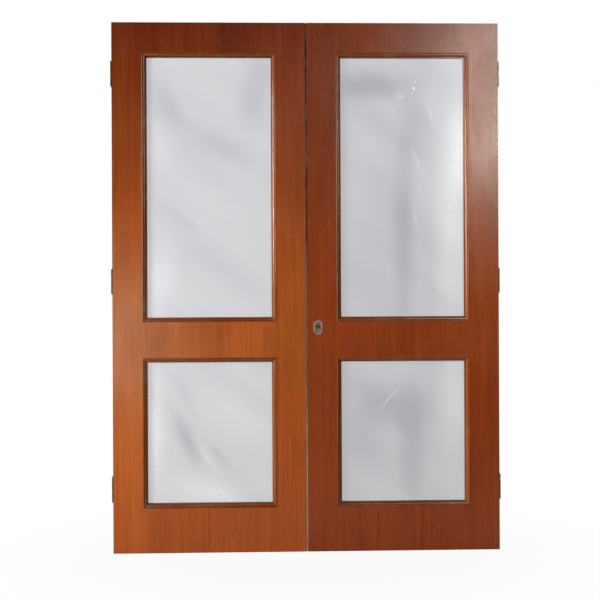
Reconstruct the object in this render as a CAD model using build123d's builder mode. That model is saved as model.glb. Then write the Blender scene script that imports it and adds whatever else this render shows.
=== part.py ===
from build123d import *
from math import sqrt
import os

# A pair of glazed timber doors. Two veneered leaves meet on square edges. Each holds a tall upper pane and a
# shorter lower pane between mitred moulded beads, and hangs on three butt hinges at its outer edge. The right
# leaf carries a mortise lock, and the left leaf takes its bolt and is held by two flush bolts.
#
# Sizes are in mm. X runs across the doors from the meeting line at x = 0, Y runs from front to back with
# y = 0 in the middle of the leaves' thickness, and Z runs up from the leaves' bottom edge. A side of -1 is
# the left leaf and +1 is the right one, and distances "out" are measured from the meeting line.

# Leaves
leaf_height = 2100.0
leaf_width = 766.0
leaf_thickness = 40.0
meeting_gap = 4.0
panel_thickness = 4.0
lipping_width = 8.0

# Face layout, from the leaf's outline to the openings for the panes
stile_width = 118.0
top_rail_height = 118.0
lock_rail_height = 142.0
bottom_rail_height = 177.0
lower_opening_height = 595.0

# Joints of the inner frame
tenon_thickness = 12.0
tenon_shoulder = 16.0
tenon_end_gap = 0.5
mortise_wall = 12.0

# Glazing
glass_thickness = 4.0
glass_edge_gap = 3.0
bead_width = 18.0
staff_width = 4.0
staff_rise = 2.0
quirk_width = 1.5
quirk_depth = 2.5
ovolo_lip = 0.8
ovolo_width = 9.5
ovolo_drop = 8.5
sight_step = 1.2
mitre_gap = 0.15

# Butt hinges
hinge_length = 100.0
hinge_plate_depth = 30.0
hinge_plate_thickness = 3.0
hinge_opening = 3.0
hinge_end_distance = 250.0
hinge_top_distance = 200.0
knuckle_count = 5
knuckle_gap = 0.4
knuckle_wall = 2.5
barrel_behind = 8.0
barrel_clearance = 0.7
pin_radius = 3.0
pin_clearance = 0.05
pin_head_height = 3.0
pin_head_edge = 1.0
pin_tail = 2.5
hinge_screws_across = 16.0
door_screws_apart = 72.0
jamb_screws_apart = 54.0

# Wood screws
screw_radius = 2.2
screw_hole_radius = 2.5
screw_head_radius = 4.1
screw_length = 28.0
screw_tip = 5.0
screw_fit = 0.05

# Lock
key_height = 894.0
key_drop = 5.0
backset = 43.0
case_below_key = 50.0
case_above_bolt = 20.0
case_side_gap = 1.0
case_end_gap = 1.5
case_wall = 1.5
case_fit = 0.5
faceplate_border = 3.5
faceplate_overhang = 24.0
faceplate_thickness = 3.0
bolt_throw = 20.0
bolt_thickness = 10.0
bolt_height = 24.0
bolt_above_key = 2.0
bolt_grip = 8.0
bolt_set_back = 0.4
bolt_fit = 0.3
bolt_edge = 1.0
tail_thickness = 4.0
tail_rise = 6.2
tail_height = 10.0
tail_end = 5.0
cam_reach = 10.0
cam_thickness = 3.0
cam_pin_radius = 1.5
cam_gap = 0.5
talon_play = 2.5
barrel_radius = 5.0
barrel_fit = 0.08
barrel_bore_gap = 0.6
plug_radius = 8.6
plug_thickness = 2.4
plug_gap = 0.3
keyway_width = 2.4
keyway_drop = 6.5
keyway_eye_radius = 2.6
keyway_depth = 5.0

# Keyhole plates
keyplate_height = 56.0
keyplate_width = 36.0
keyplate_rise = 2.2
keyplate_edge = 0.7
dish_border = 4.2
dish_depth = 3.0
dish_floor = 1.2

# Strike plate and the pocket behind it
strike_width = 24.0
strike_overhang = 24.0
strike_thickness = 2.5
strike_fit = 0.8
pocket_depth = 26.0

# Flush bolts in the left leaf's meeting edge
flush_plate_length = 160.0
flush_plate_width = 18.0
flush_plate_thickness = 2.5
flush_bolt_radius = 4.5
flush_bolt_length = 140.0
flush_bolt_throw = 15.0
flush_bolt_fit = 0.3
flush_bolt_set_back = 1.0
thumb_height = 14.0
thumb_width = 6.0
thumb_above_end = 16.0
flush_screw_from_end = 12.0
flush_lip_length = 30.0
flush_lip_screw_in = 7.0
groove_end_gap = 1.0

# Places worked out from the sizes
near_edge = meeting_gap / 2
far_edge = near_edge + leaf_width
front = -leaf_thickness / 2
back = leaf_thickness / 2
core_front = front + panel_thickness
core_back = back - panel_thickness
leaf_middle = (near_edge + far_edge) / 2
opening_width = leaf_width - 2 * stile_width
lower_opening_bottom = bottom_rail_height
lower_opening_top = lower_opening_bottom + lower_opening_height
upper_opening_bottom = lower_opening_top + lock_rail_height
upper_opening_top = leaf_height - top_rail_height
openings = {
    "upper": (upper_opening_bottom, upper_opening_top),
    "lower": (lower_opening_bottom, lower_opening_top),
}
rails = {
    "top": (upper_opening_top, leaf_height),
    "lock": (lower_opening_top, upper_opening_bottom),
    "bottom": (0.0, lower_opening_bottom),
}
sides = {"left": -1, "right": 1}

barrel_radius_out = pin_radius + knuckle_wall
barrel_y = back + barrel_behind
barrel_out = far_edge + hinge_opening / 2
hinge_plate_front = back - hinge_plate_depth
hinge_heights = {
    "bottom": hinge_end_distance,
    "middle": (hinge_end_distance + leaf_height - hinge_top_distance) / 2,
    "top": leaf_height - hinge_top_distance,
}
hinge_plate_middle = (hinge_plate_front + back) / 2
knuckle_pitch = (hinge_length + knuckle_gap) / knuckle_count

key_out = near_edge + backset
bolt_bottom = key_height + bolt_above_key
bolt_top = bolt_bottom + bolt_height
bolt_nose = near_edge + bolt_set_back
bolt_rear = bolt_nose + bolt_throw + bolt_grip
talon_half = talon_play + cam_pin_radius
tail_bottom = key_height + tail_rise
tail_far = key_out + cam_reach + talon_half + tail_end
cam_front = -(cam_thickness + cam_gap + tail_thickness) / 2
cam_back = cam_front + cam_thickness
tail_front = cam_back + cam_gap
tail_back = tail_front + tail_thickness
case_near = near_edge + faceplate_thickness
case_far = tail_far + case_end_gap + case_wall
case_bottom = key_height - case_below_key
case_top = bolt_top + case_above_bolt
case_thickness = bolt_thickness + 2 * (case_side_gap + case_wall)
faceplate_width = case_thickness + 2 * faceplate_border
faceplate_bottom = case_bottom - faceplate_overhang
faceplate_top = case_top + faceplate_overhang
tenon_length = near_edge + stile_width - case_far - case_fit - mortise_wall - tenon_end_gap
talon_top = key_height + cam_reach + cam_pin_radius + cam_gap
strike_bottom = bolt_bottom - strike_overhang
strike_top = bolt_top + strike_overhang
dish_width = keyplate_width - 2 * dish_border
dish_height = keyplate_height - 2 * dish_border
dish_let_in = dish_depth - keyplate_rise + dish_floor
keyplate_height_on_leaf = key_height - key_drop
rod_out = near_edge + flush_plate_thickness + flush_bolt_fit + flush_bolt_radius

os.makedirs("parts", exist_ok=True)


def keep(piece, name):
    """Labels a finished piece and writes it to a file of its own."""
    piece.part.label = name
    export_step(piece.part, f"parts/{name}.step")


def across(y):
    """The upright plane across the doors at one depth, drawn on as seen from the front."""
    return Plane.XZ.offset(-y)


def box(side, out, deep, up, mode=Mode.ADD):
    """A box on one side, between two distances out, two depths and two heights."""
    with Locations((side * sum(out) / 2, sum(deep) / 2, sum(up) / 2)):
        Box(abs(out[1] - out[0]), deep[1] - deep[0], up[1] - up[0], mode=mode)


def edge_plane(side, out, y, z, away):
    """A plane parallel to a leaf's edge, its normal pointing away from the meeting line (1) or to it (-1)."""
    return Plane(origin=(side * out, y, z), x_dir=(0, 1, 0), z_dir=(side * away, 0, 0))


def make_screw(fit=0.0):
    """A countersunk wood screw along -Z with its head's face at z = 0, or with a fit, the hole for it."""
    with BuildPart() as screw:
        with BuildSketch(Plane.XZ):
            with BuildLine():
                head = screw_head_radius + fit
                shank = screw_radius + fit
                Polyline(
                    (0, 0),
                    (head, 0),
                    (shank, -(head - shank)),
                    (shank, -(screw_length - screw_tip)),
                    (0, -(screw_length + fit)),
                    close=True,
                )
            make_face()
        revolve(axis=Axis.Z)
    return screw


wood_screw = make_screw()
wood_screw_hole = make_screw(screw_fit)


def leaf_end(end):
    """The height of one end of a leaf: -1 is the bottom and +1 the top."""
    return 0.0 if end < 0 else leaf_height


def from_end(end, low, high):
    """A span of heights measured from one end of the leaf."""
    return (low, high) if end < 0 else (leaf_height - high, leaf_height - low)


# Screws: where each set sits, with its head's face flush with the plate it holds


def plate_screw_spots(side, z, face, away, apart):
    """The four screw places of one hinge plate. The jamb's rows sit nearer together, so no heads meet."""
    return [
        edge_plane(side, face, hinge_plate_middle + dy, z + dz, away).location
        for dy in (-hinge_screws_across / 2, hinge_screws_across / 2)
        for dz in (-apart / 2, apart / 2)
    ]


def hinge_screw_spots(side):
    """Screw places in a leaf's door-side hinge plates, driven towards the meeting line."""
    return [
        spot
        for z in hinge_heights.values()
        for spot in plate_screw_spots(side, z, far_edge, 1, door_screws_apart)
    ]


def faceplate_screw_spots():
    """Screw places above and below the lock case."""
    gap = faceplate_overhang / 2
    return [edge_plane(1, near_edge, 0, z, -1).location for z in (case_bottom - gap, case_top + gap)]


def strike_screw_spots():
    """Screw places above and below the strike plate's hole."""
    gap = strike_overhang / 2
    return [edge_plane(-1, near_edge, 0, z, -1).location for z in (bolt_bottom - gap, bolt_top + gap)]


def flush_screw_spots(end):
    """Screw places of a flush bolt plate: one at its inner end and one in its lip on the leaf's end."""
    inner = from_end(end, 0, flush_plate_length - flush_screw_from_end)
    lip_out = near_edge + flush_lip_length - flush_lip_screw_in
    lip = Plane(origin=(-lip_out, 0, leaf_end(end)), z_dir=(0, 0, end))
    return [edge_plane(-1, near_edge, 0, inner[0 if end > 0 else 1], -1).location, lip.location]


def cut_screw_holes(spots):
    """Pilot holes in the timber."""
    with Locations(*spots):
        add(wood_screw_hole.part, mode=Mode.SUBTRACT)


def countersink(spots, thickness):
    """Countersunk clearance holes through a plate."""
    with Locations(*spots):
        CounterSinkHole(screw_hole_radius, screw_head_radius, thickness, counter_sink_angle=90)


# Let-ins that hardware makes in the timber


def cut_hinge_seats(side):
    """Seats for the door-side hinge plates in a leaf's outer edge, open at the back face."""
    for z in hinge_heights.values():
        half = hinge_length / 2
        box(
            side,
            (far_edge - hinge_plate_thickness, far_edge),
            (hinge_plate_front, back),
            (z - half, z + half),
            Mode.SUBTRACT,
        )


def cut_lock_mortise():
    """The faceplate's seat and the deep mortise for the lock case."""
    half = faceplate_width / 2
    box(1, (near_edge, case_near), (-half, half), (faceplate_bottom, faceplate_top), Mode.SUBTRACT)
    half = case_thickness / 2 + case_fit
    up = (case_bottom - case_fit, case_top + case_fit)
    box(1, (near_edge, case_far + case_fit), (-half, half), up, Mode.SUBTRACT)


def cut_key_bore():
    """The bore through a leaf's thickness for the key plug's barrel."""
    with BuildSketch(across(front)) as bore:
        with Locations((key_out, key_height)):
            Circle(barrel_radius + barrel_bore_gap)
    extrude(bore.sketch, amount=-leaf_thickness, mode=Mode.SUBTRACT)


def cut_strike_pocket():
    """The strike plate's seat and the pocket that the dead bolt enters."""
    half = strike_width / 2
    seat = (near_edge, near_edge + strike_thickness)
    box(-1, seat, (-half, half), (strike_bottom, strike_top), Mode.SUBTRACT)
    half = bolt_thickness / 2 + strike_fit
    up = (bolt_bottom - strike_fit, bolt_top + strike_fit)
    box(-1, (near_edge, near_edge + pocket_depth), (-half, half), up, Mode.SUBTRACT)


def cut_flush_bolt_grooves():
    """Seats and round-bottomed grooves for the flush bolts at the two ends of the meeting edge."""
    half = flush_plate_width / 2
    radius = flush_bolt_radius + flush_bolt_fit
    groove_length = flush_bolt_set_back + flush_bolt_length + groove_end_gap
    for end in (-1, 1):
        seat = (near_edge, near_edge + flush_plate_thickness)
        box(-1, seat, (-half, half), from_end(end, 0, flush_plate_length), Mode.SUBTRACT)
        seat = (near_edge, near_edge + flush_lip_length)
        box(-1, seat, (-half, half), from_end(end, 0, flush_plate_thickness), Mode.SUBTRACT)
        with BuildSketch(Plane.XY.offset(from_end(end, 0, groove_length)[0])) as groove:
            with Locations((-rod_out, 0)):
                Circle(radius)
            with Locations((-(near_edge + rod_out) / 2, 0)):
                Rectangle(rod_out - near_edge, 2 * radius)
        extrude(groove.sketch, amount=groove_length, mode=Mode.SUBTRACT)


# Timber of a leaf


def cut_seats_in_edges(name, side):
    """Everything let into a leaf's two long edges."""
    cut_hinge_seats(side)
    cut_screw_holes(hinge_screw_spots(side))
    if name == "right":
        cut_lock_mortise()
        cut_screw_holes(faceplate_screw_spots())
    else:
        cut_strike_pocket()
        cut_flush_bolt_grooves()
        cut_screw_holes(strike_screw_spots() + flush_screw_spots(-1) + flush_screw_spots(1))


def make_stile(name, side, outer, inner):
    """An upright of the inner frame, from its lipped edge to the openings, mortised for the rails."""
    with BuildPart() as stile:
        box(side, sorted((outer, inner)), (core_front, core_back), (0, leaf_height))
        into = -1 if inner > outer else 1
        mortise_end = inner + into * (tenon_length + tenon_end_gap)
        half = tenon_thickness / 2
        for low, high in rails.values():
            up = (low + tenon_shoulder, high - tenon_shoulder)
            box(side, sorted((inner, mortise_end)), (-half, half), up, Mode.SUBTRACT)
        cut_seats_in_edges(name, side)
        if name == "right":
            cut_key_bore()
    return stile


def make_lipping(name, side, outer, inner):
    """A strip of solid wood along a long edge of the core, under the edges of the veneered panels."""
    with BuildPart() as lipping:
        box(side, sorted((outer, inner)), (core_front, core_back), (0, leaf_height))
        cut_seats_in_edges(name, side)
    return lipping


def make_rail(side, low, high):
    """A cross member of the inner frame with a haunched tenon at each end."""
    near = near_edge + stile_width
    far = far_edge - stile_width
    with BuildPart() as rail:
        box(side, (near, far), (core_front, core_back), (low, high))
        half = tenon_thickness / 2
        up = (low + tenon_shoulder, high - tenon_shoulder)
        box(side, (near - tenon_length, far + tenon_length), (-half, half), up)
    return rail


def make_panel(name, side, y, sunk):
    """A veneered sheet over the whole face of a leaf, with a window cut for each pane."""
    with BuildPart() as panel:
        with BuildSketch(across(y)):
            with Locations((side * leaf_middle, leaf_height / 2)):
                Rectangle(leaf_width, leaf_height)
            for low, high in openings.values():
                with Locations((side * leaf_middle, (low + high) / 2)):
                    Rectangle(opening_width, high - low, mode=Mode.SUBTRACT)
        extrude(amount=-panel_thickness)
        cut_hinge_seats(side)
        if name == "right":
            cut_key_bore()
            with BuildSketch(across(sunk)):
                with Locations((key_out, keyplate_height_on_leaf)):
                    SlotOverall(dish_height, dish_width, rotation=90)
            extrude(amount=dish_let_in, both=True, mode=Mode.SUBTRACT)
    return panel


# Glazing


def make_glass(side, low, high):
    """A pane, held off the timber by a small gap all round."""
    with BuildPart() as glass:
        with BuildSketch(across(-glass_thickness / 2)):
            with Locations((side * leaf_middle, (low + high) / 2)):
                Rectangle(opening_width - 2 * glass_edge_gap, high - low - 2 * glass_edge_gap)
        extrude(amount=-glass_thickness)
    return glass


def bead_section(plane):
    """The bead's section: x runs from the timber to the pane, y from the glass out to the leaf's face."""
    face = (leaf_thickness - glass_thickness) / 2
    groove = face - quirk_depth
    ovolo_start = staff_width + quirk_width
    ovolo_end = ovolo_start + ovolo_width
    ovolo_top = face - ovolo_lip
    ovolo_foot = ovolo_top - ovolo_drop
    bulge = sqrt(0.5)
    with BuildSketch(plane) as section:
        with BuildLine():
            Polyline((0, face), (0, 0), (bead_width, 0), (bead_width, ovolo_foot - sight_step))
            Polyline(
                (bead_width, ovolo_foot - sight_step),
                (ovolo_end, ovolo_foot - sight_step),
                (ovolo_end, ovolo_foot),
            )
            ThreePointArc(
                (ovolo_end, ovolo_foot),
                (ovolo_start + ovolo_width * bulge, ovolo_foot + ovolo_drop * bulge),
                (ovolo_start, ovolo_top),
            )
            Polyline(
                (ovolo_start, ovolo_top), (ovolo_start, groove), (staff_width, groove), (staff_width, face)
            )
            ThreePointArc((staff_width, face), (staff_width / 2, face + staff_rise), (0, face))
        make_face()
    return section.sketch


def make_bead(side, low, high, facing, turn):
    """One strip of a pane's beads, run straight along its edge of the opening and mitred at both ends."""
    inward = Vector(1, 0, 0).rotate(Axis.Y, -90 * turn)
    run = inward.cross(Vector(0, 1, 0))
    reach = opening_width / 2 if turn % 2 == 0 else (high - low) / 2
    length = (high - low) if turn % 2 == 0 else opening_width
    edge = Vector(side * leaf_middle, 0, (low + high) / 2) - inward * reach
    seat = edge + Vector(0, facing * glass_thickness / 2, 0)
    outward = Vector(0, facing, 0)
    section = bead_section(Plane(origin=seat, x_dir=inward, z_dir=inward.cross(outward)))
    with BuildPart() as bead:
        extrude(section, amount=length / 2, both=True)
        with BuildSketch(Plane(origin=edge, x_dir=run, z_dir=run.cross(inward))):
            foot = length / 2 - mitre_gap
            top = foot - bead_width
            Polygon((-foot, 0), (foot, 0), (top, bead_width), (-top, bead_width), align=None)
        extrude(amount=leaf_thickness, both=True, mode=Mode.INTERSECT)
    return bead


def make_beads(side, low, high, facing):
    """The four mitred strips that hold a pane on one face."""
    strips = [make_bead(side, low, high, facing, turn).part for turn in range(4)]
    with BuildPart() as beads:
        add(strips)
    return beads


# Hinges


def knuckle_spans(z, first):
    """Heights of every other knuckle of a hinge, counted from the bottom."""
    start = z - hinge_length / 2
    return [
        (start + i * knuckle_pitch, start + (i + 1) * knuckle_pitch - knuckle_gap)
        for i in range(first, knuckle_count, 2)
    ]


def make_hinge_plate(side, z, first, out, spots):
    """A flat hinge plate with its knuckles, bored for the pin and countersunk for screws."""
    half = hinge_length / 2
    reach = barrel_y - barrel_radius_out - barrel_clearance
    with BuildPart() as plate:
        box(side, out, (hinge_plate_front, reach), (z - half, z + half))
        for low, high in knuckle_spans(z, first):
            with BuildSketch(Plane.XY.offset(low)):
                with Locations((side * sum(out) / 2, (reach + barrel_y) / 2)):
                    Rectangle(out[1] - out[0], barrel_y - reach)
                with Locations((side * barrel_out, barrel_y)):
                    Circle(barrel_radius_out)
                    Circle(pin_radius + pin_clearance, mode=Mode.SUBTRACT)
            extrude(amount=high - low)
        countersink(spots, hinge_plate_thickness)
    return plate


def make_door_plate(side, z):
    """The hinge plate let into the leaf's edge, with the second and fourth knuckles."""
    spots = plate_screw_spots(side, z, far_edge, 1, door_screws_apart)
    return make_hinge_plate(side, z, 1, (far_edge - hinge_plate_thickness, far_edge), spots)


def make_jamb_plate(side, z):
    """The hinge plate that is screwed to the opening's jamb, with the first, third and fifth knuckles."""
    near = far_edge + hinge_opening
    spots = plate_screw_spots(side, z, near, -1, jamb_screws_apart)
    return make_hinge_plate(side, z, 0, (near, near + hinge_plate_thickness), spots)


def make_pins(side):
    """Three loose hinge pins with button heads that rest on the top knuckles."""
    tail = -hinge_length / 2 - pin_tail
    top = hinge_length / 2
    with BuildPart() as pin:
        with BuildSketch(Plane.XZ):
            with BuildLine():
                Polyline(
                    (0, tail),
                    (pin_radius, tail),
                    (pin_radius, top),
                    (barrel_radius_out, top),
                    (barrel_radius_out, top + pin_head_height - pin_head_edge),
                    (barrel_radius_out - pin_head_edge, top + pin_head_height),
                    (0, top + pin_head_height),
                    close=True,
                )
            make_face()
        revolve(axis=Axis.Z)
    with BuildPart() as pins:
        with Locations(*[(side * barrel_out, barrel_y, z) for z in hinge_heights.values()]):
            add(pin.part)
    return pins


def make_screws(spots):
    """A set of wood screws, one solid for each."""
    with BuildPart() as screws:
        with Locations(*spots):
            add(wood_screw.part)
    return screws


# Lock in the right leaf


def make_lock_case():
    """The folded steel case: a hollow box open towards the faceplate, with a bearing hole in each side."""
    half = case_thickness / 2
    inner = half - case_wall
    with BuildPart() as case:
        box(1, (case_near, case_far), (-half, half), (case_bottom, case_top))
        up = (case_bottom + case_wall, case_top - case_wall)
        box(1, (case_near, case_far - case_wall), (-inner, inner), up, Mode.SUBTRACT)
        with BuildSketch(across(-half)):
            with Locations((key_out, key_height)):
                Circle(barrel_radius + barrel_fit)
        extrude(amount=-case_thickness, mode=Mode.SUBTRACT)
    return case


def make_faceplate():
    """The lock's faceplate, flush in the leaf's meeting edge, with the hole that the dead bolt runs in."""
    half = faceplate_width / 2
    with BuildPart() as faceplate:
        box(1, (near_edge, case_near), (-half, half), (faceplate_bottom, faceplate_top))
        half = bolt_thickness / 2 + bolt_fit
        up = (bolt_bottom - bolt_fit, bolt_top + bolt_fit)
        box(1, (near_edge, case_near), (-half, half), up, Mode.SUBTRACT)
        countersink(faceplate_screw_spots(), faceplate_thickness)
    return faceplate


def make_dead_bolt():
    """The dead bolt: a square head, and a tail with a talon that the cam's pin drives."""
    half = bolt_thickness / 2
    with BuildPart() as bolt:
        box(1, (bolt_nose, bolt_rear), (-half, half), (bolt_bottom, bolt_top))
        up = (tail_bottom, tail_bottom + tail_height)
        box(1, (bolt_rear, tail_far), (tail_front, tail_back), up)
        talon = key_out + cam_reach
        with BuildSketch(across(tail_front)):
            with Locations((talon, tail_bottom)):
                Rectangle(2 * talon_half, 2 * (talon_top - tail_bottom))
        extrude(amount=-tail_thickness, mode=Mode.SUBTRACT)
        nose = bolt.faces().sort_by(Axis.X)[0]
        chamfer(nose.edges(), length=bolt_edge)
    return bolt


def make_key_plug():
    """The key plug: a barrel through the leaf with a slotted head at each face and a cam inside the case."""
    floor = front - keyplate_rise + dish_depth
    head_back = floor - plug_gap
    head_front = head_back - plug_thickness
    with BuildPart() as plug:
        with BuildSketch(across(head_front)):
            with Locations((key_out, key_height)):
                Circle(plug_radius)
        extrude(amount=-plug_thickness)
        with BuildSketch(across(-head_back)):
            with Locations((key_out, key_height)):
                Circle(plug_radius)
        extrude(amount=-plug_thickness)
        with BuildSketch(across(head_back)):
            with Locations((key_out, key_height)):
                Circle(barrel_radius)
        extrude(amount=2 * head_back)
        with BuildSketch(across(cam_front)):
            with Locations((key_out + cam_reach / 2, key_height)):
                SlotOverall(cam_reach + 2 * (cam_pin_radius + 1), 2 * (cam_pin_radius + 1))
        extrude(amount=-cam_thickness)
        with BuildSketch(across(cam_front)):
            with Locations((key_out + cam_reach, key_height)):
                Circle(cam_pin_radius)
        extrude(amount=-(tail_back - cam_front))
        for face, way in ((head_front, -1), (-head_front, 1)):
            with BuildSketch(across(face)):
                with Locations((key_out, key_height)):
                    Circle(keyway_eye_radius)
                with Locations((key_out, key_height - keyway_drop / 2)):
                    Rectangle(keyway_width, keyway_drop)
            extrude(amount=way * keyway_depth, mode=Mode.SUBTRACT)
    return plug


def make_keyplate(facing):
    """An oval dished keyhole plate: a rounded rim on the face of the leaf and a cup let into the panel."""
    face = front if facing < 0 else back
    middle = (key_out, face, keyplate_height_on_leaf)
    plane = Plane(origin=middle, x_dir=(-facing, 0, 0), z_dir=(0, facing, 0))
    with BuildPart() as keyplate:
        with BuildSketch(plane):
            SlotOverall(keyplate_height, keyplate_width, rotation=90)
        extrude(amount=keyplate_rise)
        with BuildSketch(plane):
            SlotOverall(dish_height, dish_width, rotation=90)
        extrude(amount=-dish_let_in)
        outer = keyplate.faces().sort_by(Axis.Y)[-1 if facing > 0 else 0]
        chamfer(outer.outer_wire().edges(), length=keyplate_edge)
        with BuildSketch(plane.offset(keyplate_rise)):
            SlotOverall(dish_height - 2 * dish_floor, dish_width - 2 * dish_floor, rotation=90)
        extrude(amount=-dish_depth, mode=Mode.SUBTRACT)
        with BuildSketch(plane.offset(keyplate_rise)):
            with Locations((0, key_drop)):
                Circle(barrel_radius + barrel_bore_gap)
        extrude(amount=-2 * leaf_thickness, mode=Mode.SUBTRACT)
    return keyplate


# Fittings in the left leaf's meeting edge


def make_strike_plate():
    """The strike plate, flush in the edge, with a hole for the dead bolt."""
    half = strike_width / 2
    out = (near_edge, near_edge + strike_thickness)
    with BuildPart() as strike:
        box(-1, out, (-half, half), (strike_bottom, strike_top))
        half = bolt_thickness / 2 + strike_fit
        box(-1, out, (-half, half), (bolt_bottom - strike_fit, bolt_top + strike_fit), Mode.SUBTRACT)
        countersink(strike_screw_spots(), strike_thickness)
    return strike


def thumb_span(end):
    """The heights of a flush bolt's thumb piece when it is drawn in."""
    high = flush_bolt_set_back + flush_bolt_length - thumb_above_end
    return from_end(end, high - thumb_height, high)


def make_flush_plate(end):
    """The angled plate over a flush bolt: a slot for the thumb piece, and a lip with a hole for the rod."""
    half = flush_plate_width / 2
    out = (near_edge, near_edge + flush_plate_thickness)
    low, high = thumb_span(end)
    travel = (min(low, low + end * flush_bolt_throw), max(high, high + end * flush_bolt_throw))
    with BuildPart() as plate:
        box(-1, out, (-half, half), from_end(end, 0, flush_plate_length))
        lip = (near_edge, near_edge + flush_lip_length)
        lip_up = from_end(end, 0, flush_plate_thickness)
        box(-1, lip, (-half, half), lip_up)
        with BuildSketch(Plane.XY.offset(lip_up[0])):
            with Locations((-rod_out, 0)):
                Circle(flush_bolt_radius + flush_bolt_fit)
        extrude(amount=flush_plate_thickness, mode=Mode.SUBTRACT)
        half = thumb_width / 2 + flush_bolt_fit
        up = (travel[0] - flush_bolt_fit, travel[1] + flush_bolt_fit)
        box(-1, out, (-half, half), up, Mode.SUBTRACT)
        countersink(flush_screw_spots(end), flush_plate_thickness)
    return plate


def make_flush_bolt(end):
    """A round flush bolt with a thumb piece that stands in its plate's slot, flush with the edge."""
    low, high = from_end(end, flush_bolt_set_back, flush_bolt_set_back + flush_bolt_length)
    half = thumb_width / 2
    with BuildPart() as bolt:
        with BuildSketch(Plane.XY.offset(low)):
            with Locations((-rod_out, 0)):
                Circle(flush_bolt_radius)
        extrude(amount=high - low)
        chamfer(bolt.edges().filter_by(GeomType.CIRCLE), length=bolt_edge)
        box(-1, (near_edge + flush_bolt_fit, rod_out), (-half, half), thumb_span(end))
    return bolt


# Build each leaf, then its hinges, then the fittings of the meeting edges

for name, side in sides.items():
    keep(make_stile(name, side, far_edge - lipping_width, far_edge - stile_width), f"{name}_hinge_stile")
    keep(make_stile(name, side, near_edge + lipping_width, near_edge + stile_width), f"{name}_meeting_stile")
    for rail, (low, high) in rails.items():
        keep(make_rail(side, low, high), f"{name}_{rail}_rail")
    keep(make_lipping(name, side, far_edge, far_edge - lipping_width), f"{name}_hinge_lipping")
    keep(make_lipping(name, side, near_edge, near_edge + lipping_width), f"{name}_meeting_lipping")
    keep(make_panel(name, side, front, front), f"{name}_front_panel")
    keep(make_panel(name, side, core_back, back), f"{name}_back_panel")
    for pane, (low, high) in openings.items():
        keep(make_glass(side, low, high), f"{name}_{pane}_glass")
        keep(make_beads(side, low, high, -1), f"{name}_{pane}_front_beads")
        keep(make_beads(side, low, high, 1), f"{name}_{pane}_back_beads")
    for height, z in hinge_heights.items():
        keep(make_door_plate(side, z), f"{name}_{height}_hinge_door_plate")
        keep(make_jamb_plate(side, z), f"{name}_{height}_hinge_jamb_plate")
    keep(make_pins(side), f"{name}_hinge_pins")
    keep(make_screws(hinge_screw_spots(side)), f"{name}_hinge_screws")

keep(make_lock_case(), "lock_case")
keep(make_faceplate(), "lock_faceplate")
keep(make_dead_bolt(), "dead_bolt")
keep(make_key_plug(), "key_plug")
keep(make_keyplate(-1), "front_keyhole_plate")
keep(make_keyplate(1), "back_keyhole_plate")
keep(make_screws(faceplate_screw_spots()), "lock_screws")
keep(make_strike_plate(), "strike_plate")
for height, end in (("bottom", -1), ("top", 1)):
    keep(make_flush_plate(end), f"{height}_flush_bolt_plate")
    keep(make_flush_bolt(end), f"{height}_flush_bolt")
meeting_edge_spots = strike_screw_spots() + flush_screw_spots(-1) + flush_screw_spots(1)
keep(make_screws(meeting_edge_spots), "meeting_edge_screws")
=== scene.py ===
"""Finishes, small fittings and a studio for a pair of glazed timber doors, laid over their CAD frame."""

import math

import bpy
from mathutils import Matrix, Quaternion, Vector


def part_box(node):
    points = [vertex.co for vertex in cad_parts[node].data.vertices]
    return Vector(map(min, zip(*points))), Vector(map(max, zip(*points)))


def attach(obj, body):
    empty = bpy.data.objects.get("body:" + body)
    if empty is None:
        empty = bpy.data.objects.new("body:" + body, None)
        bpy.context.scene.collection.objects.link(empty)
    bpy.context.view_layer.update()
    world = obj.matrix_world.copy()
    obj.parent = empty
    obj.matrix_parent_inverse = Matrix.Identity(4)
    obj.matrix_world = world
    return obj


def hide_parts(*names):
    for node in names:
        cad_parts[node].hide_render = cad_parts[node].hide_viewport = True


bl_info = {
    "name": "French doors",
    "version": (1, 0, 0),
    "blender": (4, 5, 0),
    "location": "3D View > Sidebar > Doors",
    "description": "Varnish, glass, brass and a studio for a pair of glazed timber doors",
    "category": "Object",
}

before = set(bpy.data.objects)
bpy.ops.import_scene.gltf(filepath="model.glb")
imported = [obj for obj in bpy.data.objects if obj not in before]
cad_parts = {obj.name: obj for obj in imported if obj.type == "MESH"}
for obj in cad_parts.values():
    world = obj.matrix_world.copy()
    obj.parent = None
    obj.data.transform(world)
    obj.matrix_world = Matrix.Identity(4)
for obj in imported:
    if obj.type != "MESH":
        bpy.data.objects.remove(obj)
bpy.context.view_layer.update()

# Names that the frame gives to the doors' parts
LEAVES = ("left", "right")
PANES = ("upper", "lower")
FACES = ("front", "back")
HEIGHTS = ("bottom", "middle", "top")
RAILS = ("top_rail", "lock_rail", "bottom_rail")

# Places taken from the frame, in metres
panel_low, panel_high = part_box("right_front_panel")
LEAF_HEIGHT = panel_high.z
LEAF_OUTER = panel_high.x
LEAF_INNER = panel_low.x
FRONT = panel_low.y
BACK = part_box("right_back_panel")[1].y
GLASS_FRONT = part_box("right_upper_glass")[0].y

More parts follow.
